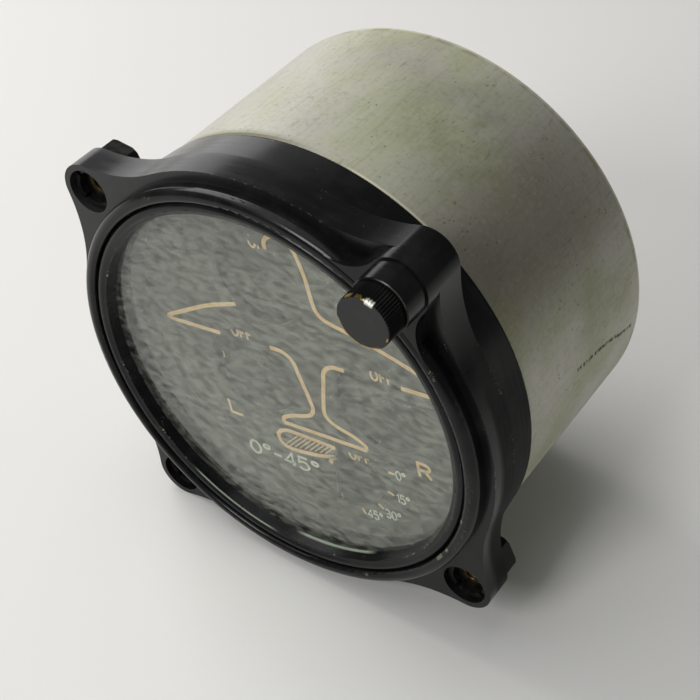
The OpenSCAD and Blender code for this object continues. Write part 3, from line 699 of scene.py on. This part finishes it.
# Plain finishes: two colours in clouds, metal share, roughness, scale of the clouds and of the
# bump's grain; clear is the share of light let through
plainFinishes = {
    "dial black": {
        "colour": (0.018, 0.020, 0.018), "other": (0.030, 0.033, 0.029),
        "metal": 0.0, "rough": (0.55, 0.75), "scale": 0.5, "grain": 3.0,
    },
    "cavity black": {
        "colour": (0.009, 0.010, 0.009), "other": (0.014, 0.015, 0.013),
        "metal": 0.0, "rough": (0.7, 0.9), "scale": 0.5, "grain": 3.0,
    },
    "flag black": {
        "colour": (0.012, 0.013, 0.012), "other": (0.020, 0.021, 0.019),
        "metal": 0.0, "rough": (0.6, 0.8), "scale": 0.6, "grain": 3.0,
    },
    "black rubber": {
        "colour": (0.010, 0.010, 0.010), "other": (0.022, 0.021, 0.019),
        "metal": 0.0, "rough": (0.6, 0.85), "scale": 0.8, "grain": 2.5,
    },
    "perished rubber": {
        "colour": (0.0025, 0.0025, 0.0024), "other": (0.004, 0.004, 0.0035),
        "metal": 0.0, "rough": (0.8, 0.95), "scale": 0.8, "grain": 2.5, "specular": 0.1,
    },
    "black nylon": {
        "colour": (0.005, 0.005, 0.005), "other": (0.012, 0.012, 0.011),
        "metal": 0.0, "rough": (0.30, 0.50), "scale": 0.9, "grain": 2.0, "specular": 0.14,
    },
    "brass": {
        "colour": (0.38, 0.27, 0.10), "other": (0.13, 0.09, 0.04),
        "metal": 1.0, "rough": (0.25, 0.5), "scale": 0.9, "grain": 4.0,
    },
    # brass darkened for dirt and for painted shade inside the nut bores
    "dirty brass with painted shade": {
        "colour": (0.20, 0.14, 0.05), "other": (0.03, 0.022, 0.012),
        "metal": 0.9, "rough": (0.28, 0.5), "scale": 1.6, "grain": 4.0,
    },
    "screw steel": {
        "colour": (0.42, 0.42, 0.40), "other": (0.22, 0.21, 0.19),
        "metal": 0.9, "rough": (0.30, 0.5), "scale": 0.7, "grain": 4.0,
    },
    "blackened steel": {
        "colour": (0.016, 0.016, 0.016), "other": (0.03, 0.03, 0.028),
        "metal": 0.0, "rough": (0.5, 0.7), "scale": 0.7, "grain": 4.0,
    },
    "bright aluminium": {
        "colour": (0.60, 0.60, 0.58), "other": (0.45, 0.45, 0.43),
        "metal": 0.9, "rough": (0.30, 0.48), "scale": 0.3, "grain": 3.0,
    },
    "motor plating": {
        "colour": (0.32, 0.33, 0.34), "other": (0.22, 0.22, 0.22),
        "metal": 0.8, "rough": (0.32, 0.5), "scale": 0.4, "grain": 3.0,
    },
    "enamelled copper": {
        "colour": (0.42, 0.17, 0.07), "other": (0.28, 0.10, 0.04),
        "metal": 0.6, "rough": (0.25, 0.4), "scale": 0.3, "grain": 5.0,
    },
    "sintered magnet": {
        "colour": (0.09, 0.09, 0.09), "other": (0.05, 0.05, 0.05),
        "metal": 0.5, "rough": (0.45, 0.65), "scale": 1.0, "grain": 5.0,
    },
    "olive plating": {
        "colour": (0.20, 0.20, 0.13), "other": (0.12, 0.12, 0.075),
        "metal": 0.55, "rough": (0.35, 0.55), "scale": 0.5, "grain": 3.0,
    },
    "brown insulator": {
        "colour": (0.10, 0.045, 0.022), "other": (0.06, 0.028, 0.015),
        "metal": 0.0, "rough": (0.25, 0.45), "scale": 0.5, "grain": 2.0,
    },
    "lamp glass": {
        "colour": (0.86, 0.90, 0.86), "other": (0.78, 0.80, 0.72),
        "metal": 0.0, "rough": (0.03, 0.10), "scale": 0.5, "grain": 2.0, "clear": 0.9,
    },
    "tan marks": {
        "colour": (0.63, 0.41, 0.235), "other": (0.55, 0.35, 0.19),
        "metal": 0.0, "rough": (0.55, 0.75), "scale": 1.4, "grain": 4.0,
    },
    "white marks": {
        "colour": (0.53, 0.53, 0.52), "other": (0.42, 0.42, 0.41),
        "metal": 0.0, "rough": (0.55, 0.75), "scale": 1.4, "grain": 4.0,
    },
}
plainClouds = {
    "detail": (4.0, 0.6),  # detail, roughness
    "colourRamp": (0.38, 0.66),
    "roughRamp": (0.35, 0.65),
    "grainDetail": 3.0,
    "bump": (0.12, 0.00003),  # strength, metres
}


def plainMaterial(name, finish, clouds):
    material, tree, shader = startMaterial(name)
    spot = places(tree)
    cloud = noise(tree, spot["where"], finish["scale"], *clouds["detail"])
    mottle = ease(tree, cloud, *clouds["colourRamp"])
    plug(tree, shader.inputs["Base Color"], blendColour(tree, mottle, finish["colour"], finish["other"]))
    plug(tree, shader.inputs["Roughness"], ease(tree, cloud, *clouds["roughRamp"], *finish["rough"]))
    shader.inputs["Metallic"].default_value = finish["metal"]
    shader.inputs["Specular IOR Level"].default_value = finish.get("specular", 0.5)
    shader.inputs["Transmission Weight"].default_value = finish.get("clear", 0.0)
    grain = noise(tree, spot["where"], finish["grain"], clouds["grainDetail"])
    bump(tree, shader, grain, *clouds["bump"])
    return material


finishes = {name: plainMaterial(name, finish, plainClouds) for name, finish in plainFinishes.items()}
finishes["casting enamel"] = enamelMaterial("casting enamel", enamelSettings, castingWearAndSheen)
finishes["retainer enamel"] = enamelMaterial("retainer enamel", enamelSettings, retainerWearAndHighlight)
finishes["collar enamel"] = enamelMaterial("collar enamel", enamelSettings, collarWear, lightAt)
finishes["knob enamel"] = enamelMaterial("knob enamel", enamelSettings, knobWearAndGlint, lightAt)
finishes["plated can"] = canMaterial(canSettings)
finishes["cover glass"] = glassMaterial(glassSettings)

motors = [side + "_motor_" for side in ("left", "right", "nose", "flap")]
finishOf = {
    "casting enamel": ["bezel_casting"],
    "retainer enamel": ["glass_retaining_ring"],
    "collar enamel": ["lamp_collar"],
    "knob enamel": ["dimmer_knob"],
    "plated can": ["can"],
    "cover glass": ["cover_glass"],
    "lamp glass": ["lamp_glass"],
    "black rubber": ["glass_gasket"],
    "perished rubber": ["can_gasket"],
    "dial black": ["dial_plate"],
    "cavity black": ["dial_spacer_ring", "dial_support_ring", "movement_plate"],
    "flag black": ["left_wheel_flag", "right_wheel_flag", "nose_wheel_flag", "flap_pointer"],
    "black nylon": ["mounting_nuts"],
    "brass": ["nut_inserts", "dimmer_sleeve", "lamp_base", "lamp_contact", "connector_pins"],
    "screw steel": ["movement_plate_screws", "case_screws", "motor_screws", "connector_screws"],
    "blackened steel": [motor + "shaft" for motor in motors],
    "bright aluminium": ["case_pillars"],
    "motor plating": [motor + "housing" for motor in motors],
    "enamelled copper": [motor + "winding" for motor in motors],
    "sintered magnet": [motor + "magnet" for motor in motors],
    "olive plating": ["connector_shell"],
    "brown insulator": ["connector_insert", "lamp_socket"],
}
for finishName, names in finishOf.items():
    for name in names:
        slots = nodes[name].data.materials
        slots.clear()
        slots.append(finishes[finishName])
print("finishes on", sum(len(names) for names in finishOf.values()), "nodes")


# Marks on the dial and the flags: flat raised ribbons
tiny = 1e-9  # keeps a division by a length of nothing from failing


def unit(vectors):
    return vectors / (np.linalg.norm(vectors, axis=1)[:, None] + tiny)


def smoothPath(points, steps=8):
    # centripetal curve through the points: cubic stretches from their ends and end slopes
    p = np.asarray(points, float)
    ends = np.vstack([2 * p[0] - p[1], p, 2 * p[-1] - p[-2]])
    a, b, c, d = ends[:-3], ends[1:-2], ends[2:-1], ends[3:]
    knots = np.sqrt(np.linalg.norm(np.diff(ends, axis=0), axis=1))[:, None] + tiny
    k0, k1, k2 = knots[:-2], knots[1:-1], knots[2:]
    m1 = ((c - b) / k1 - (c - a) / (k0 + k1) + (b - a) / k0) * k1
    m2 = ((c - b) / k1 - (d - b) / (k1 + k2) + (d - c) / k2) * k1
    t = np.linspace(0.0, 1.0, steps, endpoint=False)[:, None]
    h00, h10 = 2 * t**3 - 3 * t**2 + 1, t**3 - 2 * t**2 + t
    h01, h11 = -2 * t**3 + 3 * t**2, t**3 - t**2
    curve = h00 * b[:, None] + h10 * m1[:, None] + h01 * c[:, None] + h11 * m2[:, None]
    return np.vstack([curve.reshape(-1, 2), p[-1:]])


def ribbonArrays(path, width, front, thickness):
    # rectangular profile carried along a path in the dial's plane: four corners at each point
    p = np.asarray(path, float)
    ahead = np.vstack([p[1:], 2 * p[-1:] - p[-2:-1]])
    behind = np.vstack([2 * p[:1] - p[1:2], p[:-1]])
    after = unit(ahead - p)
    along = unit(unit(p - behind) + after)
    side = np.stack([-along[:, 1], along[:, 0]], 1)
    mitre = 1.0 / np.clip((along * after).sum(1), 0.5, 1.0)
    offset = side * width / 2 * mitre[:, None]
    corners = np.stack([p + offset, p - offset, p - offset, p + offset], 1)
    points = np.empty((len(p), 4, 3))
    points[..., 0], points[..., 2] = corners[..., 0], corners[..., 1]
    points[..., 1] = (front, front, front + thickness, front + thickness)
    i = np.arange(len(p) - 1) * 4
    sides = [np.stack([i + k, i + (k + 1) % 4, i + 4 + (k + 1) % 4, i + 4 + k], 1) for k in range(4)]
    last = (len(p) - 1) * 4
    ends = [np.array([[3, 2, 1, 0]]), np.array([[last, last + 1, last + 2, last + 3]])]
    return points.reshape(-1, 3), np.vstack(sides + ends)


def joinArrays(pieces):
    points, faces, start = [], [], 0
    for vertices, quads in pieces:
        points.append(vertices)
        faces.append(quads + start)
        start += len(vertices)
    return np.vstack(points), np.vstack(faces)


def makePiece(name, arrays, material, body):
    points, faces = arrays
    mesh = bpy.data.meshes.new(name)
    mesh.from_pydata((points * mm).tolist(), [], faces.tolist())
    mesh.materials.append(finishes[material])
    mesh.validate()
    piece = bpy.data.objects.new(name, mesh)
    bpy.context.scene.collection.objects.link(piece)
    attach(piece, body)
    return piece


# Strokes of the characters in a cell one unit high, and the way on to the next character
def arc(cx, cz, rx, rz, start, end, count=9):
    # points of an ellipse round its middle, between two angles in degrees
    a = np.radians(np.linspace(start, end, count))
    return list(zip(cx + rx * np.cos(a), cz + rz * np.sin(a)))


strokes = {
    "0": [arc(0.27, 0.5, 0.27, 0.5, 0, 360, 21)],
    "1": [[(0.05, 0.78), (0.26, 1.0), (0.26, 0.0)]],
    "3": [arc(0.24, 0.74, 0.24, 0.26, 150, -90, 10) + arc(0.24, 0.25, 0.27, 0.25, 90, -150, 10)],
    "4": [[(0.42, 0.0), (0.42, 1.0), (0.0, 0.28), (0.56, 0.28)]],
    "5": [[(0.50, 1.0), (0.08, 1.0), (0.04, 0.56)] + arc(0.25, 0.33, 0.27, 0.32, 120, -150, 11)],
    "°": [arc(0.18, 0.84, 0.16, 0.16, 0, 360, 15)],
    "-": [[(0.06, 0.46), (0.46, 0.46)]],
    "O": [arc(0.31, 0.5, 0.31, 0.5, 0, 360, 21)],
    "F": [[(0.05, 0.0), (0.05, 1.0), (0.52, 1.0)], [(0.05, 0.54), (0.42, 0.54)]],
    "L": [[(0.05, 1.0), (0.05, 0.0), (0.55, 0.0)]],
    "R": [
        [(0.05, 0.0), (0.05, 1.0), (0.34, 1.0)] + arc(0.34, 0.76, 0.22, 0.24, 90, -90)[1:] + [(0.05, 0.52)],
        [(0.30, 0.52), (0.58, 0.0)],
    ],
}
advance = {
    "0": 0.74, "1": 0.46, "3": 0.70, "4": 0.74, "5": 0.72, "°": 0.46,
    "-": 0.66, "O": 0.84, "F": 0.70, "L": 0.7, "R": 0.7,
}


def lettering(text, at, height, stroke, spread, front, thickness):
    # strokes set side by side from the lower left corner
    made, pen = [], 0.0
    for letter in text:
        for path in strokes[letter]:
            p = np.asarray(path, float)
            p = np.stack([(p[:, 0] * spread + pen) * height, p[:, 1] * height], 1)
            made.append(ribbonArrays(p + np.asarray(at), stroke, front, thickness))
        pen += advance[letter] * spread
    return made


# in mm from the dial's middle, right and up
markSettings = {
    "thickness": 0.05,
    "line": 0.80,  # width of the aircraft's outline
    "leftWing": [
        (-13.3, 8.2), (-20.0, 6.0), (-26.0, 3.2), (-30.4, 1.05),
        (-31.0, 0.6), (-30.4, 0.3), (-25.0, 0.25), (-19.0, 0.3),
    ],
    "rightWing": [(30.0, 0.75), (25.0, 0.68), (19.2, 0.6)],
    "rightSide": [
        (30.6, 1.0), (26.5, 3.1), (22.5, 5.0), (16.5, 7.3), (10.0, 9.2), (7.0, 10.0),
        (5.4, 10.7), (4.5, 12.0), (4.1, 15.0), (3.9, 18.0), (3.2, 21.5), (2.6, 23.2),
        (1.6, 24.9), (0.0, 25.6), (-1.6, 24.9), (-2.6, 24.2), (-3.2, 23.2), (-3.3, 22.0),
    ],
    "tail": [
        (-7.8, 0.5), (-5.0, 0.3), (-3.3, -1.2), (-2.6, -4.0), (-1.5, -9.0),
        (-1.25, -11.2), (-2.3, -12.8), (-7.0, -14.6), (-8.9, -15.8), (-9.0, -16.7),
    ],
    "tailFoot": -16.8,
    # section of the wing with its flap
    "section": [
        (1.8, -19.0), (-4.0, -18.7), (-9.5, -18.9), (-11.0, -20.0), (-11.3, -21.0),
        (-10.9, -22.2), (-9.5, -23.0), (-4.0, -22.6), (1.4, -21.3),
    ],
    "sectionHook": [(1.4, -21.3), (0.4, -22.0), (-0.1, -23.2)],
    # hatching: the foot line passes through footAt with a slope; lean is sideways over upwards
    "hatch": {
        "count": 9,
        "first": -10.3,
        "step": 1.18,
        "footAt": (-9.5, -22.6),
        "slope": 0.155,
        "top": -19.25,
        "lean": 1.05,
        "width": 0.2,
        "sunk": 0.01,
    },
    # ticks round the flap pointer's pivot, in degrees from +X
    "ticks": (0, -22.5, -45, -67),
    "tickRadius": 13.5,
    "tickLength": 1.3,
    "tickWidth": 0.45,
    # text, lower left corner, height, stroke, spread
    "letters": [("L", (-22.0, -18.8), 3.1, 0.5, 1.7), ("R", (19.4, -18.5), 3.1, 0.6, 1.45)],
    "numerals": [
        ("0°", (14.4, -21.3), 2.0, 0.27, 0.9),
        ("15°", (13.5, -27.1), 2.0, 0.28, 0.9),
        ("30°", (10.35, -32.1), 2.0, 0.27, 0.9),
        ("45°", (6.1, -33.8), 2.0, 0.29, 0.9),
        ("0°-45°", (-19.2, -27.6), 3.0, 0.52, 1.44),
    ],
}


def outlinePaths(settings):
    curves = ("leftWing", "rightWing", "rightSide", "tail", "section", "sectionHook")
    paths = [smoothPath(settings[key]) for key in curves]
    paths.append(smoothPath([(-x, z) for x, z in settings["tail"]]))
    half = settings["tail"][-1][0]
    paths.append([(half, settings["tailFoot"]), (-half, settings["tailFoot"])])
    return paths


def hatchPaths(hatch):
    paths = []
    for k in range(hatch["count"]):
        x = hatch["first"] + k * hatch["step"]
        foot = hatch["footAt"][1] + hatch["slope"] * (x - hatch["footAt"][0])
        paths.append([(x, foot), (x + hatch["lean"] * (hatch["top"] - foot), hatch["top"])])
    return paths


def tickPaths(settings):
    pivot = np.array(flapPivot)
    inner = settings["tickRadius"] - settings["tickLength"] / 2
    outer = settings["tickRadius"] + settings["tickLength"] / 2
    paths = []
    for angle in np.radians(settings["ticks"]):
        away = np.array([math.cos(angle), math.sin(angle)])
        paths.append([pivot + inner * away, pivot + outer * away])
    return paths


def dialMarks(settings):
    thick, hatch = settings["thickness"], settings["hatch"]
    front = dialFront - thick
    made = [ribbonArrays(path, settings["line"], front, thick) for path in outlinePaths(settings)]
    for path in hatchPaths(hatch):
        made.append(ribbonArrays(path, hatch["width"], front + hatch["sunk"], thick - hatch["sunk"]))
    for path in tickPaths(settings):
        made.append(ribbonArrays(path, settings["tickWidth"], front, thick))
    for row in settings["letters"]:
        made += lettering(*row, front, thick)
    return joinArrays(made)


def dialNumerals(settings):
    made = []
    for row in settings["numerals"]:
        made += lettering(*row, dialFront - settings["thickness"], settings["thickness"])
    return joinArrays(made)


legendSettings = {
    "text": "OFF",
    "height": 2.15,
    "stroke": 0.40,
    "spread": 1.0,
    "lastGap": 0.2,  # of the height, after the last letter
    # body, node whose middle is the pivot, and the legend's middle from there
    "flags": {
        "left_wheel_flag": ("left_wheel_rotor", "left_wheel_flag", (-3.0, 5.9)),
        "right_wheel_flag": ("right_wheel_rotor", "right_wheel_flag", (0.0, 5.65)),
        "nose_wheel_flag": ("nose_wheel_rotor", "nose_wheel_flag", (0.8, 6.4)),
        "flap_pointer": ("flap_rotor", "flap_motor_shaft", (5.7, -0.35)),
    },
    # curved ends of marks that show at a window's edge: right, up, height, stroke
    "ends": {"left_wheel_flag": (-9.3, -0.7, 1.6, 0.3), "flap_pointer": (-0.8, -12.4, 1.1, 0.35)},
    "endWidth": 0.28,  # half width over height
    "endSweep": (-70, 70),
}


def offLegend(name, pivotNode, offset, settings):
    pivot = nodeMiddle(pivotNode)
    thick = markSettings["thickness"]
    front = nodeBox(name)[0][1] - thick
    height, spread = settings["height"], settings["spread"]
    wide = sum(advance[letter] for letter in settings["text"]) * height * spread
    wide -= settings["lastGap"] * height
    at = (pivot[0] + offset[0] - wide / 2, pivot[1] + offset[1] - height / 2)
    made = lettering(settings["text"], at, height, settings["stroke"], spread, front, thick)
    if name in settings["ends"]:
        right, up, tall, stroke = settings["ends"][name]
        middle = (pivot[0] + right, pivot[1] + up)
        curve = arc(*middle, tall * settings["endWidth"], tall / 2, *settings["endSweep"])
        made.append(ribbonArrays(curve, stroke, front, thick))
    return joinArrays(made)


makePiece("dial_outline_marks", dialMarks(markSettings), "tan marks", "instrument")
makePiece("dial_numerals", dialNumerals(markSettings), "white marks", "instrument")
for flagName, (bodyName, pivotNode, offset) in legendSettings["flags"].items():
    legend = offLegend(flagName, pivotNode, offset, legendSettings)
    makePiece(flagName + "_legend", legend, "tan marks", bodyName)
print("dial and flag marks drawn")


# Brass inserts with a cut thread in place of the plain ones: mm, and points round and along
threadSettings = {"core": 1.4, "depth": 0.26, "outer": 2.2, "pitch": 0.8, "around": 72, "perTurn": 14}


def threadedInsert(place, settings):
    # radius over turn and depth: the core plus a triangular wave that climbs one pitch a turn
    front, back = insertLow[1], insertHigh[1]
    rows = int((back - front) / settings["pitch"] * settings["perTurn"])
    turn = np.linspace(0.0, 2 * np.pi, settings["around"], endpoint=False)
    depth = np.linspace(front, back, rows)
    a, y = np.meshgrid(turn, depth)
    wave = np.abs(((y - front) / settings["pitch"] - a / (2 * np.pi)) % 1.0 * 2 - 1)
    bore = settings["core"] + settings["depth"] * wave
    rim = np.full((1, settings["around"]), settings["outer"])
    radius = np.vstack([rim, bore, rim])
    y = np.vstack([y[:1], y, y[-1:]])
    a = np.vstack([a[:1], a, a[-1:]])
    points = np.stack([place[0] + radius * np.cos(a), y, place[1] + radius * np.sin(a)], -1)
    n, m = radius.shape
    i, j = np.meshgrid(np.arange(n), np.arange(m), indexing="ij")
    after, below = (j + 1) % m, (i + 1) % n
    quads = np.stack([i * m + j, i * m + after, below * m + after, below * m + j], -1)
    return points.reshape(-1, 3), quads.reshape(-1, 4)


threads = joinArrays([threadedInsert(place, threadSettings) for place in nutPlaces])
inserts = makePiece("threaded_nut_inserts", threads, "dirty brass with painted shade", "instrument")
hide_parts("nut_inserts")
print("threads cut in the inserts")
